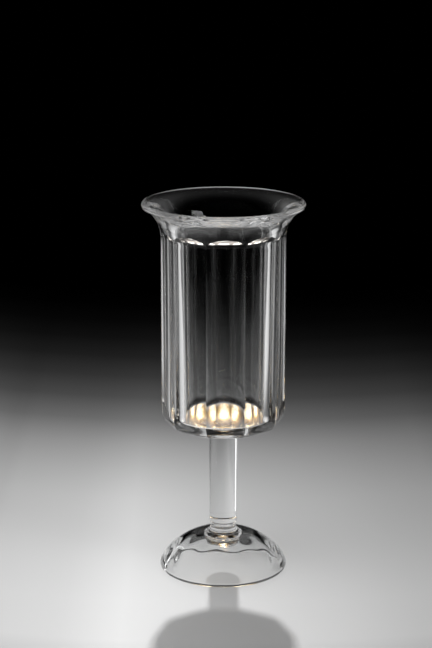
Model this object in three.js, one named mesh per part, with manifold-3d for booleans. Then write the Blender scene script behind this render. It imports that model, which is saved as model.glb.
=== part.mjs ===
// A panel-cut drinking glass: a thick cylindrical bowl with a trumpet lip, a solid stem,
// a short waisted collar and a hollow blown foot.
//
// The real glass is four gathers fused end to end while hot, and then cut cold on a wheel.
// Here each gather is a solid of its own, and each fusion is a pair of flat faces that meet.
// Millimetres, +Z up. The origin is the centre of the ring that the foot stands on.

import * as THREE from 'three';
import { mergeVertices } from 'three/addons/utils/BufferGeometryUtils.js';
import Module from 'manifold-3d';

// Heights above the table
const LIP_HEIGHT = 190.8;
const BOWL_BASE_HEIGHT = 74.15;
const STEM_FOOT_HEIGHT = 24.7;
const CROWN_HEIGHT = 19.6;

// Bowl blank, before it is cut
const BLANK_RADIUS = 31.3;
const LIP_RADIUS = 40.65;
const LIP_ROUND = 1.35;
const FLARE_RADIUS = 16.4;

// Inside of the bowl
const BORE_FLOOR_RADIUS = 22.2;
const BORE_THROAT_RADIUS = 23.6;
const THROAT_BELOW_LIP = 21.0;
const FLOOR_THICKNESS = 4.5;
const FLOOR_DISH = 2.5;
const FLOOR_CORNER = 0.8;
const THROAT_EASE = 16.0;
const LIP_EASE = 9.0;
const LIP_INNER_ANGLE = THREE.MathUtils.degToRad(106);

// Cut panels
const PANELS = 10;
const FIRST_PANEL_ANGLE = THREE.MathUtils.degToRad(2);
const PANEL_DISTANCE = 29.55;
const WHEEL_RADIUS = 6.0;
const PANEL_TOP_BELOW_FLARE = 0.9;
const CUTTER_MARGIN = 6.0;

// Rounded belly, from the flat land that the stem is fused to up to the foot of the panels
const BELLY_LAND_RADIUS = 8.7;
const BELLY_SLOPE = THREE.MathUtils.degToRad(7);
const BELLY_REACH = 13.7;
const BELLY_RISE = 8.1;
const BELLY_CREASE = 1.3;
const BELLY_ROUND_RADIUS = 22.0;
const PANEL_FOOT = 8.35;

// Stem
const STEM_TOP_RADIUS = 7.28;
const STEM_FOOT_RADIUS = 7.05;
const STEM_FILLET = 1.4;
const STEM_FOOT_ROUND = 0.7;

// Collar between the stem and the foot
const COLLAR_WAIST_RADIUS = 6.5;
const COLLAR_FLANGE_RADIUS = 8.3;
const COLLAR_LIP = 0.8;

// Foot
const FOOT_RADIUS = 32.3;
const FOOT_RIM_ROUND = 2.4;
const FOOT_GROUND_WIDTH = 1.0;
const FOOT_INNER_ROUND = 0.6;
const RIM_TURN = THREE.MathUtils.degToRad(22.9);
const RIM_EASE = 8.2;
const CROWN_EASE = 11.9;
const CROWN_SLOPE = THREE.MathUtils.degToRad(10.5);
const CROWN_LAND_MARGIN = 0.1;
const INNER_RIM_EASE = 10.0;
const INNER_CROWN_EASE = 12.0;
const CROWN_WALL = 4.5;
const BOSS_RADIUS = 8.2;
const BOSS_DROP = 2.2;
const BOSS_ROUND = 1.2;

// Facets
const ROUND_SEGMENTS = PANELS * 5;
const STEM_SEGMENTS = 36;
const ARC_STEPS = 6;
const CURVE_STEPS = 9;
const QUARTER_TURN = Math.PI / 2;
const SAME_POINT = 1e-4;

// Sizes that follow from those above
const crownLandRadius = COLLAR_FLANGE_RADIUS + CROWN_LAND_MARGIN;
const lipCentreRadius = LIP_RADIUS - LIP_ROUND;
const lipCentreHeight = LIP_HEIGHT - LIP_ROUND;
const flareCentreRadius = BLANK_RADIUS + FLARE_RADIUS;
const flareReach = FLARE_RADIUS + LIP_ROUND;
const flareStart = lipCentreHeight - Math.sqrt(flareReach ** 2 - (flareCentreRadius - lipCentreRadius) ** 2);
const flareSweep = Math.acos((flareCentreRadius - lipCentreRadius) / flareReach);
const panelTop = flareStart - PANEL_TOP_BELOW_FLARE;
const panelFootHeight = BOWL_BASE_HEIGHT + PANEL_FOOT;
const floorHeight = BOWL_BASE_HEIGHT + FLOOR_THICKNESS;
const dishRadius = BORE_FLOOR_RADIUS - FLOOR_CORNER;
const dishedHeight = floorHeight + FLOOR_DISH;

const wasm = await Module();
wasm.setup();

const point = (radius, height) => new THREE.Vector2(radius, height);

// Points along an arc in the half plane of radius and height, its end points included.
function arc(centreRadius, centreHeight, radius, startAngle, endAngle, steps = ARC_STEPS) {
  const points = [];
  for (let i = 0; i <= steps; i += 1) {
    const angle = startAngle + (endAngle - startAngle) * (i / steps);
    points.push(point(centreRadius + radius * Math.cos(angle), centreHeight + radius * Math.sin(angle)));
  }
  return points;
}

// Points along a cubic curve from start to end, with the two handles between them.
function ease(start, startHandle, endHandle, end, steps = CURVE_STEPS) {
  return new THREE.CubicBezierCurve(start, startHandle, endHandle, end).getPoints(steps);
}

// Drops a point that repeats the one before it.
function withoutRepeats(points) {
  return points.filter((p, i) => i === 0 || p.distanceTo(points[i - 1]) > SAME_POINT);
}

// Shared vertices only, with the slivers left out that a lathe makes where its profile meets the axis.
function weld(geometry) {
  geometry.deleteAttribute('normal');
  geometry.deleteAttribute('uv');
  const merged = mergeVertices(geometry, SAME_POINT);
  const corners = merged.getIndex().array;
  const kept = [];
  for (let i = 0; i < corners.length; i += 3) {
    const [a, b, c] = [corners[i], corners[i + 1], corners[i + 2]];
    if (a !== b && b !== c && c !== a) kept.push(a, b, c);
  }
  merged.setIndex(kept);
  return merged;
}

// A profile of radius and height, listed up the outside and back down the inside, turned about +Z.
function turned(profile, segments = ROUND_SEGMENTS) {
  const geometry = new THREE.LatheGeometry(withoutRepeats(profile), segments);
  geometry.rotateX(QUARTER_TURN);
  return weld(geometry);
}

function toManifold(geometry) {
  return new wasm.Manifold(new wasm.Mesh({
    numProp: 3,
    vertProperties: new Float32Array(geometry.getAttribute('position').array),
    triVerts: new Uint32Array(geometry.getIndex().array),
  }));
}

function fromManifold(solid) {
  const mesh = solid.getMesh();
  const geometry = new THREE.BufferGeometry();
  geometry.setAttribute('position', new THREE.BufferAttribute(mesh.vertProperties, 3));
  geometry.setIndex(new THREE.BufferAttribute(mesh.triVerts, 1));
  geometry.computeVertexNormals();
  return geometry;
}

// Distance from the axis and height along the belly, straight down the middle of a panel.
function bellyCurve() {
  return ease(
    point(BELLY_LAND_RADIUS, BOWL_BASE_HEIGHT),
    point(
      BELLY_LAND_RADIUS + BELLY_REACH * Math.cos(BELLY_SLOPE),
      BOWL_BASE_HEIGHT + BELLY_REACH * Math.sin(BELLY_SLOPE),
    ),
    point(PANEL_DISTANCE - BELLY_CREASE, panelFootHeight - BELLY_RISE),
    point(PANEL_DISTANCE, panelFootHeight),
  );
}

// Widens the belly towards its top, so that the panels still find glass to cut away there.
function uncut(p) {
  const beyond = Math.max(p.x - BELLY_ROUND_RADIUS, 0);
  const widening = (BLANK_RADIUS - PANEL_DISTANCE) / (PANEL_DISTANCE - BELLY_ROUND_RADIUS);
  return point(p.x + beyond * widening, p.y);
}

// The dished floor of the bore, from its corner in to the middle.
function dish() {
  const points = [];
  for (let i = 0; i <= ARC_STEPS; i += 1) {
    const inwards = 1 - i / ARC_STEPS;
    points.push(point(dishRadius * inwards, floorHeight + FLOOR_DISH * inwards ** 2));
  }
  return points;
}

// The blown bowl before cutting: belly, outside, flare, round lip, then the bore down to the floor.
function bowlBlank() {
  const bead = arc(lipCentreRadius, lipCentreHeight, LIP_ROUND, -flareSweep, LIP_INNER_ANGLE, 2 * ARC_STEPS);
  const beadEnd = bead[bead.length - 1];
  const beadTangent = LIP_INNER_ANGLE + QUARTER_TURN;
  const throatHeight = LIP_HEIGHT - THROAT_BELOW_LIP;
  const profile = [
    point(0, BOWL_BASE_HEIGHT),
    ...bellyCurve().map(uncut),
    ...arc(flareCentreRadius, flareStart, FLARE_RADIUS, Math.PI, Math.PI - flareSweep),
    ...bead,
    ...ease(
      beadEnd,
      point(beadEnd.x + LIP_EASE * Math.cos(beadTangent), beadEnd.y + LIP_EASE * Math.sin(beadTangent)),
      point(BORE_THROAT_RADIUS, throatHeight + THROAT_EASE),
      point(BORE_THROAT_RADIUS, throatHeight),
    ),
    ...arc(dishRadius, dishedHeight + FLOOR_CORNER, FLOOR_CORNER, 0, -QUARTER_TURN),
    ...dish(),
  ];
  return turned(profile);
}

// What one pass of the wheel takes away: the top of the belly, the flat panel and the round run-out above it.
function panelCutter(turn) {
  const outside = LIP_RADIUS + CUTTER_MARGIN;
  const below = BOWL_BASE_HEIGHT - CUTTER_MARGIN;
  const cut = bellyCurve().filter((p) => p.x > BELLY_ROUND_RADIUS);
  const [first, second] = cut;
  const leadIn = (first.y - below) * ((second.x - first.x) / (second.y - first.y));
  const outline = new THREE.Shape([
    point(first.x - leadIn, below),
    point(outside, below),
    point(outside, panelTop + WHEEL_RADIUS),
    ...arc(PANEL_DISTANCE + WHEEL_RADIUS, panelTop, WHEEL_RADIUS, QUARTER_TURN, Math.PI),
    ...cut.reverse(),
  ]);
  const width = 2 * PANEL_DISTANCE * Math.tan(Math.PI / PANELS) + CUTTER_MARGIN;
  const geometry = new THREE.ExtrudeGeometry(outline, { depth: width, bevelEnabled: false });
  geometry.translate(0, 0, -width / 2);
  geometry.rotateX(QUARTER_TURN);
  geometry.rotateZ(turn);
  return toManifold(weld(geometry));
}

function bowlGeometry() {
  let solid = toManifold(bowlBlank());
  for (let i = 0; i < PANELS; i += 1) {
    const turn = FIRST_PANEL_ANGLE - QUARTER_TURN + (i * 2 * Math.PI) / PANELS;
    solid = solid.subtract(panelCutter(turn));
  }
  return fromManifold(solid);
}

// A plain rod, rounded where it meets the collar and spread a little where it takes the bowl.
function stemGeometry() {
  const filletHeight = BOWL_BASE_HEIGHT - STEM_FILLET;
  const profile = [
    point(0, STEM_FOOT_HEIGHT),
    ...arc(
      STEM_FOOT_RADIUS - STEM_FOOT_ROUND, STEM_FOOT_HEIGHT + STEM_FOOT_ROUND, STEM_FOOT_ROUND,
      -QUARTER_TURN, 0, ARC_STEPS / 2,
    ),
    ...arc(STEM_TOP_RADIUS + STEM_FILLET, filletHeight, STEM_FILLET, Math.PI, QUARTER_TURN, ARC_STEPS / 2),
    point(0, BOWL_BASE_HEIGHT),
  ];
  return turned(profile, STEM_SEGMENTS);
}

// The waisted bit of glass that was dropped on the foot and drawn up to take the stem.
function collarGeometry() {
  const waist = point(COLLAR_WAIST_RADIUS, STEM_FOOT_HEIGHT - COLLAR_LIP);
  const flange = point(COLLAR_FLANGE_RADIUS, CROWN_HEIGHT);
  const profile = [
    point(0, CROWN_HEIGHT),
    ...ease(
      flange, point(COLLAR_WAIST_RADIUS + COLLAR_LIP, CROWN_HEIGHT), point(waist.x, CROWN_HEIGHT + COLLAR_LIP),
      waist,
    ),
    point(STEM_FOOT_RADIUS - STEM_FOOT_ROUND, STEM_FOOT_HEIGHT),
    point(0, STEM_FOOT_HEIGHT),
  ];
  return turned(profile, STEM_SEGMENTS);
}

// The dome: a rounded rim on a narrow ground ring, a flat land on the crown for the collar,
// and a rounded boss under the crown where the glass was gathered.
function footGeometry() {
  const rimCentre = point(FOOT_RADIUS - FOOT_RIM_ROUND, FOOT_RIM_ROUND);
  const rimTop = point(
    rimCentre.x + FOOT_RIM_ROUND * Math.cos(RIM_TURN),
    rimCentre.y + FOOT_RIM_ROUND * Math.sin(RIM_TURN),
  );
  const innerCentre = point(rimCentre.x - FOOT_GROUND_WIDTH, FOOT_INNER_ROUND);
  const innerTop = point(
    innerCentre.x - FOOT_INNER_ROUND * Math.cos(RIM_TURN),
    innerCentre.y - FOOT_INNER_ROUND * Math.sin(RIM_TURN),
  );
  const ceilingHeight = CROWN_HEIGHT - CROWN_WALL;
  const bossFace = ceilingHeight - BOSS_DROP;
  const ceilingEdge = point(crownLandRadius + CROWN_WALL * Math.sin(CROWN_SLOPE), ceilingHeight);
  const profile = [
    ...arc(rimCentre.x, rimCentre.y, FOOT_RIM_ROUND, -QUARTER_TURN, RIM_TURN),
    ...ease(
      rimTop,
      point(rimTop.x - RIM_EASE * Math.sin(RIM_TURN), rimTop.y + RIM_EASE * Math.cos(RIM_TURN)),
      point(
        crownLandRadius + CROWN_EASE * Math.cos(CROWN_SLOPE),
        CROWN_HEIGHT - CROWN_EASE * Math.sin(CROWN_SLOPE),
      ),
      point(crownLandRadius, CROWN_HEIGHT),
    ),
    point(0, CROWN_HEIGHT),
    point(0, bossFace),
    ...arc(BOSS_RADIUS - BOSS_ROUND, bossFace + BOSS_ROUND, BOSS_ROUND, -QUARTER_TURN, 0, ARC_STEPS / 2),
    point(BOSS_RADIUS, ceilingHeight),
    ...ease(
      ceilingEdge,
      point(
        ceilingEdge.x + INNER_CROWN_EASE * Math.cos(CROWN_SLOPE),
        ceilingEdge.y - INNER_CROWN_EASE * Math.sin(CROWN_SLOPE),
      ),
      point(
        innerTop.x - INNER_RIM_EASE * Math.sin(RIM_TURN),
        innerTop.y + INNER_RIM_EASE * Math.cos(RIM_TURN),
      ),
      innerTop,
    ),
    ...arc(innerCentre.x, innerCentre.y, FOOT_INNER_ROUND, Math.PI + RIM_TURN, 3 * QUARTER_TURN, ARC_STEPS / 2),
  ];
  profile.push(profile[0].clone());
  return turned(profile);
}

const clearGlass = (color, roughness) => new THREE.MeshStandardMaterial({ color, roughness, metalness: 0 });

function piece(name, geometry, material) {
  const mesh = new THREE.Mesh(geometry, material);
  mesh.name = name;
  return mesh;
}

const goblet = new THREE.Group();
goblet.name = 'goblet';
goblet.add(
  piece('bowl', bowlGeometry(), clearGlass(0xe4e8e8, 0.03)),
  piece('stem', stemGeometry(), clearGlass(0xe0e4e4, 0.03)),
  piece('foot_collar', collarGeometry(), clearGlass(0xd8d6cc, 0.04)),
  piece('foot', footGeometry(), clearGlass(0xdde2e4, 0.05)),
);

export default goblet;
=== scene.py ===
"""A panel-cut drinking glass in a dark studio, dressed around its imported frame.

Lengths in the classes are millimetres, as a glassmaker would give them. Blender works in
metres, so every mesh is scaled by MM as it is made. The glass stands on +Z, and the camera
looks along +Y.
"""

from __future__ import annotations

import logging
import math
from dataclasses import dataclass, field
from enum import Enum

import bpy
import numpy as np
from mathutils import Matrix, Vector


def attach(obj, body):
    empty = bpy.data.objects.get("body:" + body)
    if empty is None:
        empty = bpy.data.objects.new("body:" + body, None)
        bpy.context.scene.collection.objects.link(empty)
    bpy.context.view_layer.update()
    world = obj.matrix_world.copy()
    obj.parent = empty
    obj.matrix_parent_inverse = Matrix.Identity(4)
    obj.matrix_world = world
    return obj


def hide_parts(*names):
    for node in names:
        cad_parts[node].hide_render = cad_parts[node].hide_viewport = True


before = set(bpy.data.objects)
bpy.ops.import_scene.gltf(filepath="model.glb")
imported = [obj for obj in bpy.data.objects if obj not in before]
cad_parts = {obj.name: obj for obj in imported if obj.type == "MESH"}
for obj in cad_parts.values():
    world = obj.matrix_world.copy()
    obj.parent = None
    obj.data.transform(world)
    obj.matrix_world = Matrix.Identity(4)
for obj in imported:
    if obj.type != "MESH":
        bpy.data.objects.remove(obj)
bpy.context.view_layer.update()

MM = 0.001
BODY = "root"
GLASS_BOUNCES = 40
# Air left at each fusion, and how far from a seam's height a face still lies on it, in millimetres.
SEAM_GAP = 0.01
SEAM_REACH = 2.5 * SEAM_GAP
# Least share of a face's normal that points straight up or down where the face counts as level.
LEVEL_FACE = 0.9
# The waves fade out from this radius to the axis, in millimetres.
CALM_RADIUS = 5.0
SMALLEST_RADIUS = 1e-6
# How often the search for a panel's arch halves its range, and how much of the wheel it searches.
HALVINGS = 40
WHEEL_SHARE = 0.98
# Rows of the bowl's mesh, as shares of the way up the wheel's run-out and up the flare.
RUN_OUT_ROWS = (*np.linspace(0.1, 0.9, 9), 0.965)
FLARE_ROWS = (0.008, *np.linspace(0.05, 1.0, 22))
# Light has crossed N surfaces when its depth is more than N less this.
HALF_A_SURFACE = 0.5
log = logging.getLogger("drinking_glass")

Point = tuple[float, float]
Place = tuple[float, float, float]
Colour = tuple[float, float, float]
Tones = tuple[tuple[float, Colour], ...]

PLAIN_WHITE: Tones = ((0.0, (1.0, 1.0, 1.0)), (1.0, (1.0, 1.0, 1.0)))
WARM_GLOW: Tones = (
    (0.0, (0.0, 0.0, 0.0)),
    (0.25, (0.04, 0.02, 0.007)),
    (0.55, (0.16, 0.095, 0.034)),
    (0.68, (0.5, 0.34, 0.14)),
    (0.8, (1.0, 0.87, 0.62)),
    (1.0, (1.0, 0.98, 0.93)),
)


class Sum(Enum):
    """What a Math node does with its inputs."""

    TIMES = "MULTIPLY"
    TIMES_PLUS = "MULTIPLY_ADD"
    OVER = "DIVIDE"
    LESS = "SUBTRACT"
    ABOVE = "GREATER_THAN"


def arc(centre: Point, radius: float, start: float, end: float, steps: int) -> np.ndarray:
    """Points along an arc in the half plane of radius and height.

    Args:
        centre: Radius and height of the arc's centre, in millimetres.
        radius: Radius of the arc.
        start: First angle in degrees, 0 pointing away from the axis and 90 up.
        end: Last angle in degrees.
        steps: Number of segments.

    Returns:
        An array of (radius, height) rows, both ends included.
    """
    angles = np.radians(np.linspace(start, end, steps + 1))
    return np.stack([centre[0] + radius * np.cos(angles), centre[1] + radius * np.sin(angles)], axis=-1)


def ease(p0: Point, p1: Point, p2: Point, p3: Point, steps: int) -> np.ndarray:
    """Points along a cubic curve in the half plane of radius and height.

    Args:
        p0: Start.
        p1: Handle of the start.
        p2: Handle of the end.
        p3: End.
        steps: Number of segments.

    Returns:
        An array of (radius, height) rows, both ends included.
    """
    t = np.linspace(0.0, 1.0, steps + 1)[:, None]
    a, b, c, d = (np.asarray(p, float) for p in (p0, p1, p2, p3))
    return (1 - t) ** 3 * a + 3 * (1 - t) ** 2 * t * b + 3 * (1 - t) * t**2 * c + t**3 * d


def straight(start: Point, end: Point, steps: int) -> np.ndarray:
    """Evenly spaced points on a straight line.

    Args:
        start: First point.
        end: Last point.
        steps: Number of segments.

    Returns:
        An array of (radius, height) rows, both ends included.
    """
    return np.linspace(np.asarray(start, float), np.asarray(end, float), steps + 1)


@dataclass(frozen=True)
class Waves:
    """Slow unevenness of hand-worked glass, as a sum of a few plane waves.

    Attributes:
        height: Greatest rise above the true surface, in millimetres.
        length: Shortest distance from crest to crest, in millimetres.
        seed: Fixes the directions and phases, so that every run is alike.
        count: Number of waves added up.
        spread: Longest wave, as a multiple of the shortest.
    """

    height: float
    length: float
    seed: int
    count: int = 7
    spread: float = 2.6

    def at(self, points: np.ndarray) -> np.ndarray:
        """The rise at each point.

        Args:
            points: Array whose last axis is x, y and z in millimetres.

        Returns:
            An array of rises in millimetres, without the last axis.
        """
        draw = np.random.default_rng(self.seed)
        total = np.zeros(points.shape[:-1])
        for _ in range(self.count):
            direction = draw.normal(size=3)
            direction /= np.linalg.norm(direction)
            wavelength = self.length * draw.uniform(1.0, self.spread)
            phase = draw.uniform(0.0, 2.0 * math.pi)
            total += np.sin(points @ direction * (2.0 * math.pi / wavelength) + phase)
        return total * (self.height / self.count)


def add_object(name: str, data: bpy.types.ID) -> bpy.types.Object:
    """Makes an object from a mesh, lamp or camera and links it to the scene.

    Args:
        name: Name of the new object.
        data: The mesh, lamp or camera.

    Returns:
        The new object.
    """
    made = bpy.data.objects.new(name, data)
    bpy.context.scene.collection.objects.link(made)
    return made


def turned_mesh(name: str, grid: np.ndarray) -> bpy.types.Object:
    """Makes one closed mesh from a grid of points wrapped round the axis.

    Args:
        name: Name of the new object.
        grid: Array of rows by columns by xyz, in millimetres. The first and last rows are single
            points on the axis, and columns run round it.

    Returns:
        The new object, linked to the scene and shaded smooth.
    """
    rows, columns, _ = grid.shape
    rings = rows - 2
    ahead = (np.arange(columns) + 1) % columns
    points = np.concatenate([grid[0, :1], grid[1:-1].reshape(-1, 3), grid[-1, :1]])
    index = 1 + np.arange(rings * columns).reshape(rings, columns)
    last = len(points) - 1
    faces = []
    for low, high in zip(index, index[1:]):
        faces += np.stack([low, low[ahead], high[ahead], high], axis=-1).tolist()
    faces += [(0, int(index[0, ahead[j]]), int(index[0, j])) for j in range(columns)]
    faces += [(last, int(index[-1, j]), int(index[-1, ahead[j]])) for j in range(columns)]
    mesh = bpy.data.meshes.new(name)
    mesh.from_pydata((points * MM).tolist(), [], faces)
    mesh.validate()
    mesh.polygons.foreach_set("use_smooth", [True] * len(mesh.polygons))
    mesh.update()
    return add_object(name, mesh)


def flat_sheet(
    name: str, reach: tuple[float, float], material: bpy.types.Material
) -> bpy.types.Object:
    """Makes a level rectangle with its middle at the origin.

    Args:
        name: Name of the new object.
        reach: Half its width and half its depth, in metres.
        material: Its finish.

    Returns:
        The new object, linked to the scene.
    """
    x, y = reach
    mesh = bpy.data.meshes.new(name)
    mesh.from_pydata([(-x, -y, 0), (x, -y, 0), (x, y, 0), (-x, y, 0)], [], [(0, 1, 2, 3)])
    mesh.materials.append(material)
    return add_object(name, mesh)


def turn_to(made: bpy.types.Object, place: Place, aim: Place) -> None:
    """Puts a lamp or card in its place and turns it towards a point.

    Args:
        made: The lamp or card.
        place: Its place in metres.
        aim: The point it faces, in metres.
    """
    made.location = place
    towards = Vector(aim) - Vector(place)
    made.rotation_euler = towards.to_track_quat("-Z", "Y").to_euler()


def level_row(out: np.ndarray, height: float) -> np.ndarray:
    """A row of points at one height.

    Args:
        out: Distance of each column's point from the axis.
        height: Height of the row.

    Returns:
        An array of columns by (radius, height).
    """
    return np.stack([out, np.full_like(out, height)], axis=-1)


def wrap(profile: np.ndarray, angles: np.ndarray) -> np.ndarray:
    """Turns a profile of radius and height about the axis.

    Args:
        profile: Array of rows by 2, or rows by columns by 2 where it changes round the axis.
        angles: Angle of each column in radians.

    Returns:
        An array of rows by columns by xyz.
    """
    if profile.ndim == 2:
        profile = np.repeat(profile[:, None, :], len(angles), axis=1)
    radius, height = profile[..., 0], profile[..., 1]
    return np.stack([radius * np.cos(angles), radius * np.sin(angles), height], axis=-1)


def push(grid: np.ndarray, waves: Waves, still: np.ndarray | None = None) -> np.ndarray:
    """Moves each point away from or towards the axis by the waves' rise.

    Args:
        grid: Array of rows by columns by xyz.
        waves: The unevenness to add.
        still: Share of the rise that each row keeps, or None for all of it.

    Returns:
        The moved grid.
    """
    radius = np.linalg.norm(grid[..., :2], axis=-1, keepdims=True)
    outwards = grid * np.array([1.0, 1.0, 0.0]) / np.maximum(radius, SMALLEST_RADIUS)
    rise = waves.at(grid)[..., None] * np.minimum(radius / CALM_RADIUS, 1.0)
    if still is not None:
        rise = rise * still[:, None, None]
    return grid + outwards * rise


def empty_material(name: str) -> bpy.types.Material:
    """Makes a material whose node tree is still empty."""
    material = bpy.data.materials.new(name)
    material.use_nodes = True
    material.node_tree.nodes.clear()
    return material


def reckon(
    tree: bpy.types.NodeTree, what: Sum, *inputs: bpy.types.NodeSocket | float
) -> bpy.types.NodeSocket:
    """Adds a Math node.

    Args:
        tree: The material's node tree.
        what: What the node does.
        inputs: For each input in order, the socket to link or the number to set.

    Returns:
        The socket that carries the result.
    """
    node = tree.nodes.new("ShaderNodeMath")
    node.operation = what.value
    for i, given in enumerate(inputs):
        if isinstance(given, bpy.types.NodeSocket):
            tree.links.new(given, node.inputs[i])
        else:
            node.inputs[i].default_value = given
    return node.outputs["Value"]


def set_stops(ramp: bpy.types.Node, stops: Tones) -> None:
    """Gives a new colour ramp its stops.

    Args:
        ramp: The ramp's node.
        stops: Position and colour of each stop, in rising order.
    """
    elements = ramp.color_ramp.elements
    given = len(elements)
    for i, (position, colour) in enumerate(stops):
        stop = elements[i] if i < given else elements.new(position)
        stop.position = position
        stop.color = (*colour, 1.0)


def let_lamps_through(tree: bpy.types.NodeTree, glass: bpy.types.Node, shade: float) -> None:
    """Ends a glass finish so that a share of the lamps' light goes straight through.

    Args:
        tree: The material's node tree.
        glass: The node of the glass.
        shade: Share of a lamp's light that the surface lets through.
    """
    nodes, links = tree.nodes, tree.links
    passing = nodes.new("ShaderNodeBsdfTransparent")
    passing.inputs["Color"].default_value = (shade, shade, shade, 1.0)
    rays = nodes.new("ShaderNodeLightPath")
    choice = nodes.new("ShaderNodeMixShader")
    out = nodes.new("ShaderNodeOutputMaterial")
    links.new(rays.outputs["Is Shadow Ray"], choice.inputs["Fac"])
    links.new(glass.outputs["BSDF"], choice.inputs[1])
    links.new(passing.outputs["BSDF"], choice.inputs[2])
    links.new(choice.outputs["Shader"], out.inputs["Surface"])


@dataclass(frozen=True)
class GlassFinish:
    """Clear heavy glass, with the unevenness that its making leaves on the surface.

    Attributes:
        name: Material name.
        ripple_length: Crest to crest distance of the surface ripple, in millimetres.
        ripple_depth: Depth of the ripple, in millimetres.
        shade: Share of a lamp's light that each surface lets straight through.
        draw_marks: How much longer the ripple runs up the glass than across it.
        tint: Colour that light takes on at each surface.
        ior: Index of refraction.
        polish: Lowest and highest roughness over the surface.
        smears: Smears in the polish for each ripple.
        smear_range: Values of the smears' noise that give the lowest and highest roughness.
    """

    name: str
    ripple_length: float
    ripple_depth: float
    shade: float
    draw_marks: float = 1.0
    tint: Colour = (0.985, 0.99, 0.99)
    ior: float = 1.55
    polish: tuple[float, float] = (0.0, 0.02)
    smears: float = 0.6
    smear_range: tuple[float, float] = (0.45, 0.8)

    def make(self) -> bpy.types.Material:
        """Builds the node tree.

        Returns:
            The new material.
        """
        material = empty_material(self.name)
        nodes, links = material.node_tree.nodes, material.node_tree.links
        place = nodes.new("ShaderNodeTexCoord")
        drawn = nodes.new("ShaderNodeMapping")
        drawn.inputs["Scale"].default_value = (1.0, 1.0, 1.0 / self.draw_marks)
        ripple = nodes.new("ShaderNodeTexNoise")
        ripple.inputs["Scale"].default_value = 1.0 / (self.ripple_length * MM)
        ripple.inputs["Detail"].default_value = 1.5
        ripple.inputs["Roughness"].default_value = 0.4
        bump = nodes.new("ShaderNodeBump")
        bump.inputs["Strength"].default_value = 1.0
        bump.inputs["Distance"].default_value = self.ripple_depth * MM
        smear = nodes.new("ShaderNodeTexNoise")
        smear.inputs["Scale"].default_value = self.smears / (self.ripple_length * MM)
        smear.inputs["Detail"].default_value = 6.0
        polish = nodes.new("ShaderNodeMapRange")
        polish.inputs["From Min"].default_value = self.smear_range[0]
        polish.inputs["From Max"].default_value = self.smear_range[1]
        polish.inputs["To Min"].default_value = self.polish[0]
        polish.inputs["To Max"].default_value = self.polish[1]
        glass = nodes.new("ShaderNodeBsdfPrincipled")
        glass.inputs["Base Color"].default_value = (*self.tint, 1.0)
        glass.inputs["Transmission Weight"].default_value = 1.0
        glass.inputs["IOR"].default_value = self.ior
        links.new(place.outputs["Object"], drawn.inputs["Vector"])
        links.new(drawn.outputs["Vector"], ripple.inputs["Vector"])
        links.new(place.outputs["Object"], smear.inputs["Vector"])
        links.new(ripple.outputs["Fac"], bump.inputs["Height"])
        links.new(smear.outputs["Fac"], polish.inputs["Value"])
        links.new(polish.outputs["Result"], glass.inputs["Roughness"])
        links.new(bump.outputs["Normal"], glass.inputs["Normal"])
        let_lamps_through(material.node_tree, glass, self.shade)
        return material


@dataclass(frozen=True)
class FusedSeam:
    """The hardly visible face where two gathers were fused while hot.

    Attributes:
        name: Material name.
        ior: Index across the face; 1 would be invisible.
    """

    name: str = "fused_seam"
    ior: float = 1.004

    def make(self) -> bpy.types.Material:
        """Builds the node tree.

        Returns:
            The new material.
        """
        material = empty_material(self.name)
        glass = material.node_tree.nodes.new("ShaderNodeBsdfPrincipled")
        glass.inputs["Base Color"].default_value = (1.0, 1.0, 1.0, 1.0)
        glass.inputs["Transmission Weight"].default_value = 1.0
        glass.inputs["Roughness"].default_value = 0.0
        glass.inputs["IOR"].default_value = self.ior
        let_lamps_through(material.node_tree, glass, 1.0)
        return material


@dataclass(frozen=True)
class Seam:
    """A level disc where one gather meets the next.

    Attributes:
        height: Height of the disc above the table, in millimetres.
        radius: Radius of the disc.
    """

    height: float
    radius: float

    def dress(self, piece: bpy.types.Object, material: bpy.types.Material) -> None:
        """Gives the faces of a piece that lie on the disc the seam's material.

        Args:
            piece: The piece to dress.
            material: The seam's material, added to the piece if it isn't there.
        """
        mesh = piece.data
        if material.name not in mesh.materials:
            mesh.materials.append(material)
        slot = mesh.materials.find(material.name)
        for face in mesh.polygons:
            centre = face.center
            at_seam = abs(centre.z - self.height * MM) < SEAM_REACH * MM
            within = math.hypot(centre.x, centre.y) < self.radius * MM
            if at_seam and within and abs(face.normal.z) > LEVEL_FACE:
                face.material_index = slot


@dataclass
class Heights:
    """Heights above the table where the pieces meet, in millimetres."""

    lip: float = 190.8
    bowl_base: float = 74.15
    stem_foot: float = 24.7
    crown: float = 19.6


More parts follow.
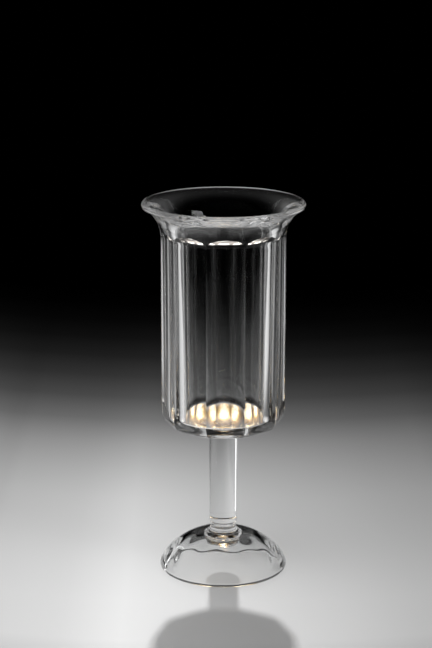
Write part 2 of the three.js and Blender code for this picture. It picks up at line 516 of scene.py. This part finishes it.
@dataclass
class Bowl:
    """The thick cup: a turned blank with a trumpet lip, cut with ten panels, over a rounded belly.

    Sizes are in millimetres and angles in degrees. An ease is how far a curve keeps to its first
    or last direction, and a land is the narrow flat left between two cuts.

    Attributes:
        heights: Heights shared with the other pieces.
        finish: How its glass looks.
    """

    heights: Heights
    finish: GlassFinish
    blank_radius: float = 31.3
    lip_radius: float = 40.65
    lip_round: float = 1.35
    flare_radius: float = 16.4
    floor_radius: float = 22.2
    throat_radius: float = 23.6
    throat_below_lip: float = 21.0
    floor_thickness: float = 4.5
    floor_dish: float = 2.5
    floor_corner: float = 0.8
    corner_hold: float = 0.25
    corner_ease: float = 0.55
    throat_ease: float = 16.0
    lip_ease: float = 9.0
    lip_inner_angle: float = 106.0
    bead_start: float = 6.0
    panels: int = 10
    first_panel: float = 2.0
    panel_distance: float = 29.55
    wheel_radius: float = 6.0
    panel_top_below_flare: float = 0.9
    panel_foot: float = 8.35
    belly_slope: float = 7.0
    belly_reach: float = 13.7
    belly_rise: float = 8.1
    belly_crease: float = 1.3
    belly_round: float = 22.0
    ridge_land: float = 0.25
    edge_land: float = 0.09
    panel_rows: int = 60
    first_panel_row: float = 1.5
    columns_per_panel: int = 36
    stem_reach: float = 8.6
    outside_waves: Waves = field(default_factory=lambda: Waves(0.015, 14.0, 3))
    inside_waves: Waves = field(default_factory=lambda: Waves(0.05, 16.0, 5))

    def flare_start(self) -> float:
        """Height where the straight wall of the blank turns into the flare."""
        across = self.blank_radius + self.flare_radius - (self.lip_radius - self.lip_round)
        reach = self.flare_radius + self.lip_round
        return self.heights.lip - self.lip_round - math.sqrt(reach**2 - across**2)

    def flare_sweep(self) -> float:
        """Angle in degrees that the flare turns through."""
        across = self.blank_radius + self.flare_radius - (self.lip_radius - self.lip_round)
        return math.degrees(math.acos(across / (self.flare_radius + self.lip_round)))

    def blank_at(self, height: np.ndarray) -> np.ndarray:
        """Outside radius of the uncut blank.

        Args:
            height: Heights in millimetres, up to the end of the flare.

        Returns:
            The radius at each height.
        """
        rise = np.clip(height - self.flare_start(), 0.0, self.flare_radius)
        return self.blank_radius + self.flare_radius - np.sqrt(self.flare_radius**2 - rise**2)

    def run_out_at(self, height: np.ndarray) -> np.ndarray:
        """Distance of the cut surface from the axis, square to the panel, above its flat stretch.

        Args:
            height: Heights in millimetres.

        Returns:
            The distance at each height.
        """
        top = self.flare_start() - self.panel_top_below_flare
        rise = np.clip(height - top, 0.0, self.wheel_radius)
        return self.panel_distance + self.wheel_radius - np.sqrt(self.wheel_radius**2 - rise**2)

    def columns(self) -> tuple[np.ndarray, np.ndarray]:
        """Angles of the mesh columns.

        Returns:
            The angle of each column in radians, and its angle from the middle of its panel.
        """
        half = math.pi / self.panels
        land = self.ridge_land / (2.0 * self.blank_radius)
        inner = np.linspace(-half + land, half - land, self.columns_per_panel)
        offsets = np.concatenate([inner, [half]])
        angles, from_middle = [], []
        for i in range(self.panels):
            middle = math.radians(self.first_panel - 90.0) + i * 2.0 * half
            angles.append(middle + offsets)
            from_middle.append(offsets)
        return np.concatenate(angles), np.concatenate(from_middle)

    def arch_at(self, cosines: np.ndarray) -> np.ndarray:
        """Height where each column leaves the cut and meets the blank, found by halving.

        Args:
            cosines: Cosine of each column's angle from the middle of its panel.

        Returns:
            The height for each column.
        """
        low = np.full_like(cosines, self.flare_start() - self.panel_top_below_flare)
        high = low + self.wheel_radius * WHEEL_SHARE
        for _ in range(HALVINGS):
            middle = (low + high) / 2.0
            cut = self.run_out_at(middle) / cosines < self.blank_at(middle)
            low = np.where(cut, middle, low)
            high = np.where(cut, high, middle)
        return low

    def outside(self, cosines: np.ndarray) -> np.ndarray:
        """The cut outside of the bowl, from the belly's edge at the stem to the lip bead.

        Args:
            cosines: Cosine of each column's angle from the middle of its panel.

        Returns:
            An array of rows by columns by (radius, height).
        """
        belly_top = self.heights.bowl_base + self.panel_foot
        panel_top = self.flare_start() - self.panel_top_below_flare
        rows = []
        for distance, height in self.belly()[1:-1]:
            squared = (distance - self.belly_round) / (self.panel_distance - self.belly_round)
            follow = min(max(squared, 0.0), 1.0)
            rows.append(level_row(distance * ((1.0 - follow) + follow / cosines), height))
        rising = np.linspace(belly_top + self.first_panel_row, panel_top, self.panel_rows)
        for height in (belly_top + self.edge_land, *rising):
            rows.append(level_row(self.panel_distance / cosines, height))
        arch = self.arch_at(cosines)
        for share in RUN_OUT_ROWS:
            height = panel_top + (arch - panel_top) * share
            rows.append(np.stack([self.run_out_at(height) / cosines, height], axis=-1))
        end = self.flare_start() + self.flare_radius * math.sin(math.radians(self.flare_sweep()))
        for share in FLARE_ROWS:
            height = arch + (end - arch) * share
            rows.append(np.stack([self.blank_at(height), height], axis=-1))
        return np.stack(rows)

    def belly(self) -> np.ndarray:
        """The rounded underside, from the stem's seam to the foot of the panels.

        Returns:
            An array of rows by (distance from the axis, height).
        """
        base = self.heights.bowl_base
        slope = math.radians(self.belly_slope)
        return ease(
            (self.stem_reach, base),
            (
                self.stem_reach + self.belly_reach * math.cos(slope),
                base + self.belly_reach * math.sin(slope),
            ),
            (self.panel_distance - self.belly_crease, base + self.panel_foot - self.belly_rise),
            (self.panel_distance, base + self.panel_foot),
            steps=40,
        )

    def inside(self) -> np.ndarray:
        """The lip bead and the bore, down to the middle of the floor.

        Returns:
            An array of rows by (radius, height).
        """
        lip = (self.lip_radius - self.lip_round, self.heights.lip - self.lip_round)
        bead_low = self.bead_start - self.flare_sweep()
        bead = arc(lip, self.lip_round, bead_low, self.lip_inner_angle, steps=22)
        end = bead[-1]
        tangent = math.radians(self.lip_inner_angle + 90.0)
        throat = self.heights.lip - self.throat_below_lip
        floor = self.heights.bowl_base + self.floor_thickness
        flare = ease(
            tuple(end),
            (end[0] + self.lip_ease * math.cos(tangent), end[1] + self.lip_ease * math.sin(tangent)),
            (self.throat_radius, throat + self.throat_ease),
            (self.throat_radius, throat),
            steps=28,
        )
        dished = floor + self.floor_dish
        dish_radius = self.floor_radius - self.floor_corner
        tilt = 2.0 * self.floor_dish / dish_radius
        wall_foot = (self.floor_radius, dished + self.floor_corner)
        wall = straight((self.throat_radius, throat), wall_foot, steps=26)
        handle = self.corner_ease * self.floor_corner
        corner = ease(
            wall_foot,
            (self.floor_radius, dished + self.floor_corner * (1.0 - self.corner_hold)),
            (dish_radius + handle, dished + handle * tilt),
            (dish_radius, dished),
            steps=20,
        )
        radii = np.linspace(dish_radius, 0.0, num=26)
        bottom = np.stack([radii, floor + self.floor_dish * (radii / dish_radius) ** 2], axis=-1)
        return np.concatenate([bead, flare[1:], wall[1:], corner[1:], bottom[1:]])

    def build(self, seam: bpy.types.Material) -> bpy.types.Object:
        """Makes the bowl's mesh and dresses it.

        Args:
            seam: Material of the face that the stem is fused to.

        Returns:
            The finished piece.
        """
        angles, from_middle = self.columns()
        cosines = np.cos(from_middle)
        outside = self.outside(cosines)
        base = self.heights.bowl_base
        reach = np.full_like(cosines, self.stem_reach)
        under = np.stack([level_row(reach * share, base) for share in (0.0, 0.5, 1.0)])
        outer = wrap(np.concatenate([under, outside]), angles)
        outer = push(outer, self.outside_waves)
        inner = push(wrap(self.inside(), angles), self.inside_waves)
        piece = turned_mesh("cut_bowl", np.concatenate([outer, inner]))
        piece.data.materials.append(self.finish.make())
        Seam(base, self.stem_reach).dress(piece, seam)
        return piece


@dataclass
class Stem:
    """The solid rod between the bowl and the collar, a little thinner at its rounded foot.

    Attributes:
        heights: Heights shared with the other pieces.
        finish: How its glass looks.
    """

    heights: Heights
    finish: GlassFinish
    top_radius: float = 7.28
    foot_radius: float = 7.05
    fillet: float = 1.4
    fillet_end: float = 96.0
    foot_round: float = 0.7
    columns: int = 160
    waves: Waves = field(default_factory=lambda: Waves(0.02, 22.0, 11))

    def build(self, seam: bpy.types.Material) -> bpy.types.Object:
        """Makes the stem's mesh and dresses it.

        Args:
            seam: Material of its two fused ends.

        Returns:
            The finished piece.
        """
        low = self.heights.stem_foot + SEAM_GAP
        high = self.heights.bowl_base - SEAM_GAP
        foot_end = self.foot_radius - self.foot_round
        fillet_out = self.top_radius + self.fillet
        start = straight((0.0, low), (foot_end, low), steps=5)
        rounded = arc((foot_end, low + self.foot_round), self.foot_round, -90.0, 0.0, steps=8)
        rod_foot = (self.foot_radius, low + self.foot_round)
        rod = straight(rod_foot, (self.top_radius, high - self.fillet), steps=60)
        spread = arc((fillet_out, high - self.fillet), self.fillet, 180.0, self.fillet_end, steps=8)
        end = straight((float(spread[-1][0]), high), (0.0, high), steps=5)
        profile = np.concatenate([start, rounded[1:], rod[1:], spread[1:], end])
        angles = np.linspace(0.0, 2.0 * math.pi, self.columns, endpoint=False)
        grid = push(wrap(profile, angles), self.waves)
        piece = turned_mesh("rod_stem", grid)
        piece.data.materials.append(self.finish.make())
        Seam(self.heights.stem_foot, foot_end).dress(piece, seam)
        Seam(self.heights.bowl_base, fillet_out).dress(piece, seam)
        return piece


@dataclass
class Collar:
    """The short bit between the stem and the foot: a flange that narrows to a neck under the stem.

    Attributes:
        heights: Heights shared with the other pieces.
        finish: How its glass looks.
    """

    heights: Heights
    finish: GlassFinish
    waist_radius: float = 6.5
    flange_radius: float = 8.3
    neck: float = 0.8
    top_radius: float = 6.35
    flange_edge: float = 0.02
    flange_slope: float = 0.1
    shoulder: float = 0.2
    columns: int = 160
    waves: Waves = field(default_factory=lambda: Waves(0.12, 3.0, 17))

    def build(self, seam: bpy.types.Material) -> bpy.types.Object:
        """Makes the collar's mesh and dresses it.

        Args:
            seam: Material of its two fused ends.

        Returns:
            The finished piece.
        """
        low = self.heights.crown + SEAM_GAP
        high = self.heights.stem_foot - SEAM_GAP
        under = straight((0.0, low), (self.flange_radius, low), steps=5)
        waist = (self.waist_radius, high - self.neck)
        flank = ease(
            (self.flange_radius, low + self.flange_edge),
            (self.waist_radius + self.neck, low + self.flange_slope),
            (self.waist_radius, low + self.neck),
            waist,
            steps=14,
        )
        bend = (self.waist_radius, high - self.shoulder)
        shoulder = ease(waist, bend, (self.waist_radius, high), (self.top_radius, high), steps=5)
        top = straight((self.top_radius, high), (0.0, high), steps=5)
        profile = np.concatenate([under, flank, shoulder[1:], top[1:]])
        angles = np.linspace(0.0, 2.0 * math.pi, self.columns, endpoint=False)
        grid = push(wrap(profile, angles), self.waves)
        piece = turned_mesh("waisted_collar", grid)
        piece.data.materials.append(self.finish.make())
        Seam(self.heights.crown, self.flange_radius).dress(piece, seam)
        Seam(self.heights.stem_foot, self.top_radius).dress(piece, seam)
        return piece


@dataclass
class Foot:
    """The hollow blown dome with a rounded rim and a boss under its crown.

    Sizes are in millimetres and angles in degrees. The waves grow from nothing at the table to
    their full rise at `calm_height`. The seam stops `seam_margin` short of the land's edge.

    Attributes:
        heights: Heights shared with the other pieces.
        finish: How its glass looks.
    """

    heights: Heights
    finish: GlassFinish
    radius: float = 32.3
    rim_round: float = 2.4
    ground_width: float = 1.0
    inner_round: float = 0.6
    rim_turn: float = 22.9
    rim_ease: float = 8.2
    crown_ease: float = 11.9
    crown_slope: float = 10.5
    inner_rim_ease: float = 10.0
    inner_crown_ease: float = 12.0
    land_radius: float = 8.4
    crown_wall: float = 4.5
    boss_radius: float = 8.2
    boss_drop: float = 2.2
    boss_round: float = 1.2
    calm_height: float = 4.0
    seam_margin: float = 0.1
    columns: int = 300
    outside_waves: Waves = field(default_factory=lambda: Waves(0.05, 11.0, 23))
    inside_waves: Waves = field(default_factory=lambda: Waves(0.5, 9.0, 29))

    def outside(self) -> np.ndarray:
        """The rim and the dome, up to the middle of the crown's flat land.

        Returns:
            An array of rows by (radius, height).
        """
        turn, slope = math.radians(self.rim_turn), math.radians(self.crown_slope)
        centre = (self.radius - self.rim_round, self.rim_round)
        rim = arc(centre, self.rim_round, -90.0, self.rim_turn, steps=16)
        top = rim[-1]
        dome = ease(
            tuple(top),
            (top[0] - self.rim_ease * math.sin(turn), top[1] + self.rim_ease * math.cos(turn)),
            (
                self.land_radius + self.crown_ease * math.cos(slope),
                self.heights.crown - self.crown_ease * math.sin(slope),
            ),
            (self.land_radius, self.heights.crown),
            steps=56,
        )
        land = straight((self.land_radius, self.heights.crown), (0.0, self.heights.crown), steps=6)
        return np.concatenate([rim, dome[1:], land[1:]])

    def inside(self) -> np.ndarray:
        """The boss, the ceiling and the inner dome, down to the ground ring.

        Returns:
            An array of rows by (radius, height).
        """
        turn, slope = math.radians(self.rim_turn), math.radians(self.crown_slope)
        ceiling = self.heights.crown - self.crown_wall
        face = ceiling - self.boss_drop
        inner_centre = (self.radius - self.rim_round - self.ground_width, self.inner_round)
        inner_top = (
            inner_centre[0] - self.inner_round * math.cos(turn),
            inner_centre[1] - self.inner_round * math.sin(turn),
        )
        edge = (self.land_radius + self.crown_wall * math.sin(slope), ceiling)
        disc_edge = self.boss_radius - self.boss_round
        disc = straight((0.0, face), (disc_edge, face), steps=5)
        boss = arc((disc_edge, face + self.boss_round), self.boss_round, -90.0, 0.0, steps=8)
        dome = ease(
            edge,
            (
                edge[0] + self.inner_crown_ease * math.cos(slope),
                edge[1] - self.inner_crown_ease * math.sin(slope),
            ),
            (
                inner_top[0] - self.inner_rim_ease * math.sin(turn),
                inner_top[1] + self.inner_rim_ease * math.cos(turn),
            ),
            inner_top,
            steps=56,
        )
        rounded = arc(inner_centre, self.inner_round, 180.0 + self.rim_turn, 270.0, steps=6)
        ground = straight((inner_centre[0], 0.0), (self.radius - self.rim_round, 0.0), steps=2)
        boss_root = [(self.boss_radius, ceiling)]
        return np.concatenate([disc, boss[1:], boss_root, dome, rounded[1:], ground[1:-1]])

    def build(self, seam: bpy.types.Material) -> bpy.types.Object:
        """Makes the foot's mesh and dresses it.

        Args:
            seam: Material of the land that the collar is fused to.

        Returns:
            The finished piece.
        """
        angles = np.linspace(0.0, 2.0 * math.pi, self.columns, endpoint=False)
        outer = self.outside()
        inner = self.inside()
        calm_outer = np.clip(outer[:, 1] / self.calm_height, 0.0, 1.0)
        calm_inner = np.clip(inner[:, 1] / self.calm_height, 0.0, 1.0)
        outer_grid = push(wrap(outer, angles), self.outside_waves, calm_outer)
        inner_grid = push(wrap(inner, angles), self.inside_waves, calm_inner)
        piece = turned_mesh("blown_foot", np.concatenate([inner_grid, outer_grid]))
        piece.data.materials.append(self.finish.make())
        Seam(self.heights.crown, self.land_radius - self.seam_margin).dress(piece, seam)
        return piece


@dataclass(frozen=True)
class Lamp:
    """A soft rectangular white lamp, which neither the camera nor the glass shows.

    Attributes:
        name: Name of the lamp.
        place: Its place in metres.
        aim: The point it faces, in metres.
        size: Its width and height in metres.
        power: Its power in watts.
    """

    name: str
    place: Place
    aim: Place
    size: tuple[float, float]
    power: float

    def hang(self) -> None:
        """Adds the lamp to the scene."""
        light = bpy.data.lights.new(self.name, "AREA")
        light.shape = "RECTANGLE"
        light.size, light.size_y = self.size
        light.energy = self.power
        made = add_object(self.name, light)
        turn_to(made, self.place, self.aim)
        made.visible_camera = False
        made.visible_transmission = False
        made.visible_glossy = False


@dataclass(frozen=True)
class GlowCard:
    """A glowing card in the room, which shows in the glass and nowhere else.

    The camera doesn't see it, and it throws no light on the floor. It never shows through fewer
    glass surfaces than `after`, which keeps the thin rim dark and which no real card can do. Its
    beams that pass the goblet lower than `cut` are dark too, as slats in front of it would make
    them, and above the `pale` heights they lose colour.

    Attributes:
        name: Name of the card.
        place: Its middle, in metres.
        aim: The point it faces, in metres.
        reach: Half its width and half its height, in metres.
        strength: Brightness where its tones are white.
        after: Fewest glass surfaces between the card and the eye.
        tones: Share of the way from edge to middle, and colour there.
        cut: Height on the goblet under which it throws no light, in metres.
        pale: Heights on the goblet between which its colour pales, in metres.
        pale_colour: Share of the colour left above those heights.
    """

    name: str
    place: Place
    aim: Place
    reach: tuple[float, float]
    strength: float
    after: int
    tones: Tones
    cut: float
    pale: tuple[float, float] = (0.12, 0.155)
    pale_colour: float = 0.2

    def height_lit(self, tree: bpy.types.NodeTree) -> bpy.types.NodeSocket:
        """Adds the height at which a beam from the card meets the upright plane through the goblet.

        It follows from the beam's own line in the room, and not from where the camera stands.

        Args:
            tree: The material's node tree.

        Returns:
            The socket that carries the height, in metres.
        """
        nodes, links = tree.nodes, tree.links
        beam = nodes.new("ShaderNodeNewGeometry")
        start = nodes.new("ShaderNodeSeparateXYZ")
        way = nodes.new("ShaderNodeSeparateXYZ")
        links.new(beam.outputs["Position"], start.inputs["Vector"])
        links.new(beam.outputs["Incoming"], way.inputs["Vector"])
        run = reckon(tree, Sum.OVER, start.outputs["Y"], way.outputs["Y"])
        drop = reckon(tree, Sum.TIMES, run, way.outputs["Z"])
        return reckon(tree, Sum.LESS, start.outputs["Z"], drop)

    def material(self) -> bpy.types.Material:
        """Builds the glowing finish.

        Returns:
            The new material.
        """
        material = empty_material(self.name)
        tree = material.node_tree
        nodes, links = tree.nodes, tree.links
        place = nodes.new("ShaderNodeTexCoord")
        size = nodes.new("ShaderNodeMapping")
        size.inputs["Scale"].default_value = (1.0 / self.reach[0], 1.0 / self.reach[1], 1.0)
        gradient = nodes.new("ShaderNodeTexGradient")
        gradient.gradient_type = "SPHERICAL"
        ramp = nodes.new("ShaderNodeValToRGB")
        ramp.color_ramp.interpolation = "EASE"
        set_stops(ramp, self.tones)
        rays = nodes.new("ShaderNodeLightPath")
        height = self.height_lit(tree)
        crossed = reckon(tree, Sum.ABOVE, rays.outputs["Transmission Depth"], self.after - HALF_A_SURFACE)
        above = reckon(tree, Sum.ABOVE, height, self.cut)
        passed = reckon(tree, Sum.TIMES, crossed, above)
        level = reckon(tree, Sum.TIMES, passed, self.strength)
        fading = nodes.new("ShaderNodeMapRange")
        fading.inputs["From Min"].default_value, fading.inputs["From Max"].default_value = self.pale
        fading.inputs["To Min"].default_value = 1.0
        fading.inputs["To Max"].default_value = self.pale_colour
        tint = nodes.new("ShaderNodeHueSaturation")
        glow = nodes.new("ShaderNodeEmission")
        out = nodes.new("ShaderNodeOutputMaterial")
        links.new(place.outputs["Object"], size.inputs["Vector"])
        links.new(size.outputs["Vector"], gradient.inputs["Vector"])
        links.new(gradient.outputs["Fac"], ramp.inputs["Fac"])
        links.new(height, fading.inputs["Value"])
        links.new(fading.outputs["Result"], tint.inputs["Saturation"])
        links.new(ramp.outputs["Color"], tint.inputs["Color"])
        links.new(tint.outputs["Color"], glow.inputs["Color"])
        links.new(level, glow.inputs["Strength"])
        links.new(glow.outputs["Emission"], out.inputs["Surface"])
        return material

    def hang(self) -> None:
        """Adds the card to the scene."""
        card = flat_sheet(self.name, self.reach, self.material())
        turn_to(card, self.place, self.aim)
        card.visible_camera = False
        card.visible_diffuse = False
        card.visible_shadow = False


@dataclass(frozen=True)
class Studio:
    """The pale floor, whose colour holds painted light that fades into painted darkness, the lamps and
    the dark room.

    Attributes:
        reach: Half the floor's width, in metres.
        depth_span: First and last place along Y that the depth tones cover, in metres.
        depth_painted_light: Place along Y and painted light there, a pool fading to painted darkness.
        bend: How fast the painted pool of light bends back behind the glass, in metres per square metre.
        side_span: First and last place along X that the side tones cover, in metres.
        side_painted_light: Place along X and share of the painted light there, with bands of painted
            shade.
    """

    reach: float = 6.0
    depth_span: tuple[float, float] = (-0.9, 0.7)
    # Painted light and shade along Y: a painted pool of light peaks just in front of the glass and fades
    # to painted darkness behind it; further in front lie a band of painted shade and then painted
    # darkness.
    depth_painted_light: tuple[tuple[float, float], ...] = (
        (-0.9, 0.0),
        (-0.55, 0.0),
        (-0.5, 0.02),
        (-0.45, 0.08),
        (-0.4, 0.25),
        (-0.3, 0.25),
        (-0.2, 0.15),
        (-0.13, 0.7),
        (-0.1, 0.83),
        (-0.05, 0.795),
        (0.0, 0.715),
        (0.05, 0.625),
        (0.1, 0.53),
        (0.15, 0.405),
        (0.2, 0.28),
        (0.25, 0.135),
        (0.3, 0.06),
        (0.35, 0.027),
        (0.4, 0.0105),
        (0.45, 0.004),
        (0.5, 0.0014),
        (0.55, 0.0003),
        (0.6, 0.0),
        (0.7, 0.0),
    )
    bend: float = 1.2
    side_span: tuple[float, float] = (-0.9, 0.9)
    # Painted light and shade along X: the painted pool is brightest just left of the glass's axis, with
    # bands of painted shade either side, the deepest right of the glass, and fades far out at the sides.
    side_painted_light: tuple[tuple[float, float], ...] = (
        (-0.9, 0.3),
        (-0.6, 0.95),
        (-0.18, 0.95),
        (-0.13, 0.7),
        (-0.12, 0.77),
        (-0.08, 0.84),
        (-0.05, 1.0),
        (0.06, 0.68),
        (0.09, 0.58),
        (0.12, 0.5),
        (0.18, 0.15),
        (0.25, 0.25),
        (0.32, 0.95),
        (0.6, 0.95),
        (0.9, 0.3),
    )

    def tone_across(
        self,
        tree: bpy.types.NodeTree,
        along: bpy.types.NodeSocket,
        span: tuple[float, float],
        tones: tuple[tuple[float, float], ...],
    ) -> bpy.types.NodeSocket:
        """Adds painted light and shade that change along one direction of the floor.

        Args:
            tree: The material's node tree.
            along: Place along the direction, in metres.
            span: First and last place that the tones cover.
            tones: Place and tone of each stop.

        Returns:
            The socket that carries the tone.
        """
        share = tree.nodes.new("ShaderNodeMapRange")
        share.inputs["From Min"].default_value, share.inputs["From Max"].default_value = span
        ramp = tree.nodes.new("ShaderNodeValToRGB")
        ramp.color_ramp.interpolation = "LINEAR"
        width = span[1] - span[0]
        set_stops(ramp, tuple(((at - span[0]) / width, (tone, tone, tone)) for at, tone in tones))
        tree.links.new(along, share.inputs["Value"])
        tree.links.new(share.outputs["Result"], ramp.inputs["Fac"])
        return ramp.outputs["Color"]

    def floor_material(self) -> bpy.types.Material:
        """A pale matt sheet whose colour holds painted light, fading into painted darkness behind the
        glass.

        Returns:
            The new material.
        """
        material = bpy.data.materials.new("studio_sheet")
        material.use_nodes = True
        tree = material.node_tree
        nodes, links = tree.nodes, tree.links
        sheet = nodes["Principled BSDF"]
        sheet.inputs["Roughness"].default_value = 1.0
        sheet.inputs["Specular IOR Level"].default_value = 0.0
        place = nodes.new("ShaderNodeNewGeometry")
        split = nodes.new("ShaderNodeSeparateXYZ")
        links.new(place.outputs["Position"], split.inputs["Vector"])
        square = reckon(tree, Sum.TIMES, split.outputs["X"], split.outputs["X"])
        bent = reckon(tree, Sum.TIMES_PLUS, square, -self.bend, split.outputs["Y"])
        # The sheet's colour is the painted light of both ramps multiplied together.
        depth = self.tone_across(tree, bent, self.depth_span, self.depth_painted_light)
        side = self.tone_across(tree, split.outputs["X"], self.side_span, self.side_painted_light)
        both = nodes.new("ShaderNodeVectorMath")
        both.operation = Sum.TIMES.value
        links.new(depth, both.inputs[0])
        links.new(side, both.inputs[1])
        links.new(both.outputs["Vector"], sheet.inputs["Base Color"])
        return material

    def lights(self) -> tuple[Lamp | GlowCard, ...]:
        """The lamps, and the cards that stand for further lights in the room."""
        return (
            Lamp(
                "key_lamp",
                place=(0.0, 1.25, 1.18),
                aim=(0.0, 0.0, 0.1),
                size=(0.07, 0.09),
                power=30.0,
            ),
            Lamp(
                "top_lamp",
                place=(-0.25, -0.35, 1.35),
                aim=(0.0, -0.05, 0.0),
                size=(0.9, 0.9),
                power=7.0,
            ),
            Lamp(
                "right_box",
                place=(0.956, -0.683, 0.656),
                aim=(0.0, 0.0, 0.18),
                size=(0.5, 0.9),
                power=4.0,
            ),
            GlowCard(
                "back_glow",
                place=(0.0, 1.25, 0.8),
                aim=(0.0, 0.0, 0.1),
                reach=(0.8, 0.85),
                strength=15.0,
                after=3,
                tones=WARM_GLOW,
                cut=0.022,
            ),
            GlowCard(
                "right_glow",
                place=(0.956, -0.683, 0.42),
                aim=(0.0, 0.0, 0.18),
                reach=(0.25, 0.15),
                strength=3.4,
                after=0,
                tones=PLAIN_WHITE,
                cut=0.1,
            ),
            GlowCard(
                "stem_glow",
                place=(-0.067, 0.052, 0.025),
                aim=(0.0, 0.0, 0.025),
                reach=(0.006, 0.025),
                strength=2.0,
                after=2,
                tones=PLAIN_WHITE,
                cut=-1.0,
            ),
        )

    def build(self) -> None:
        """Adds the floor, the dark world, the lamps and the cards."""
        floor = flat_sheet("studio_floor", (self.reach, self.reach), self.floor_material())
        world = bpy.data.worlds.new("dark_room")
        world.use_nodes = True
        world.node_tree.nodes["Background"].inputs["Color"].default_value = (0.0, 0.0, 0.0, 1.0)
        bpy.context.scene.world = world
        for light in self.lights():
            light.hang()


@dataclass(frozen=True)
class PhotoCamera:
    """A camera fitted to the picture's view of the glass.

    Attributes:
        back: Distance in front of the glass's axis, in metres.
        height: Height above the table, in metres.
        side: Sideways offset of the glass in the picture, in metres.
        pitch: Degrees below level that it looks.
        focal_pixels: Focal length in pixels of the picture.
        picture_height: Height of the picture in pixels.
        sensor: Length in millimetres that the picture's height is taken for.
        nearest: Distance in metres from which the camera sees.
    """

    back: float = 0.992
    height: float = 0.385
    side: float = -0.0037
    pitch: float = 14.5
    focal_pixels: float = 2050.0
    picture_height: int = 648
    sensor: float = 36.0
    nearest: float = 0.05

    def place(self) -> None:
        """Adds the camera and makes it the scene's."""
        data = bpy.data.cameras.new("photo_camera")
        data.sensor_width = self.sensor
        data.lens = self.focal_pixels * self.sensor / self.picture_height
        data.clip_start = self.nearest
        camera = add_object("photo_camera", data)
        camera.location = (self.side, -self.back, self.height)
        camera.rotation_euler = (math.radians(90.0 - self.pitch), 0.0, 0.0)
        bpy.context.scene.camera = camera


def settle(piece: bpy.types.Object, node: str) -> None:
    """Seats a finished piece in the frame, in place of its CAD node.

    Args:
        piece: The finished piece.
        node: The CAD node that it stands for.
    """
    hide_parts(node)
    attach(piece, BODY)
    log.info("%s stands for %s with %d faces", piece.name, node, len(piece.data.polygons))


def let_light_through() -> None:
    """Raises the bounce limits, with some to spare, for light that crosses many glass surfaces."""
    cycles = bpy.context.scene.cycles
    cycles.max_bounces = GLASS_BOUNCES
    cycles.transmission_bounces = GLASS_BOUNCES
    cycles.glossy_bounces = GLASS_BOUNCES


def main() -> None:
    """Builds the camera, the glass and the studio in order."""
    logging.basicConfig(level=logging.INFO, format="%(message)s")
    bpy.context.scene.view_settings.view_transform = "Standard"
    let_light_through()
    PhotoCamera().place()
    heights = Heights()
    seam = FusedSeam().make()
    bowl = Bowl(
        heights,
        GlassFinish("bowl_glass", ripple_length=2.2, ripple_depth=0.004, shade=0.15, draw_marks=40.0),
    )
    stem = Stem(heights, GlassFinish("stem_glass", ripple_length=14.0, ripple_depth=0.006, shade=0.5))
    collar = Collar(heights, GlassFinish("collar_glass", ripple_length=4.0, ripple_depth=0.01, shade=0.5))
    foot = Foot(heights, GlassFinish("foot_glass", ripple_length=7.0, ripple_depth=0.02, shade=0.95))
    settle(bowl.build(seam), "bowl")
    settle(stem.build(seam), "stem")
    settle(collar.build(seam), "foot_collar")
    settle(foot.build(seam), "foot")
    Studio().build()


if __name__ == "__main__":
    main()
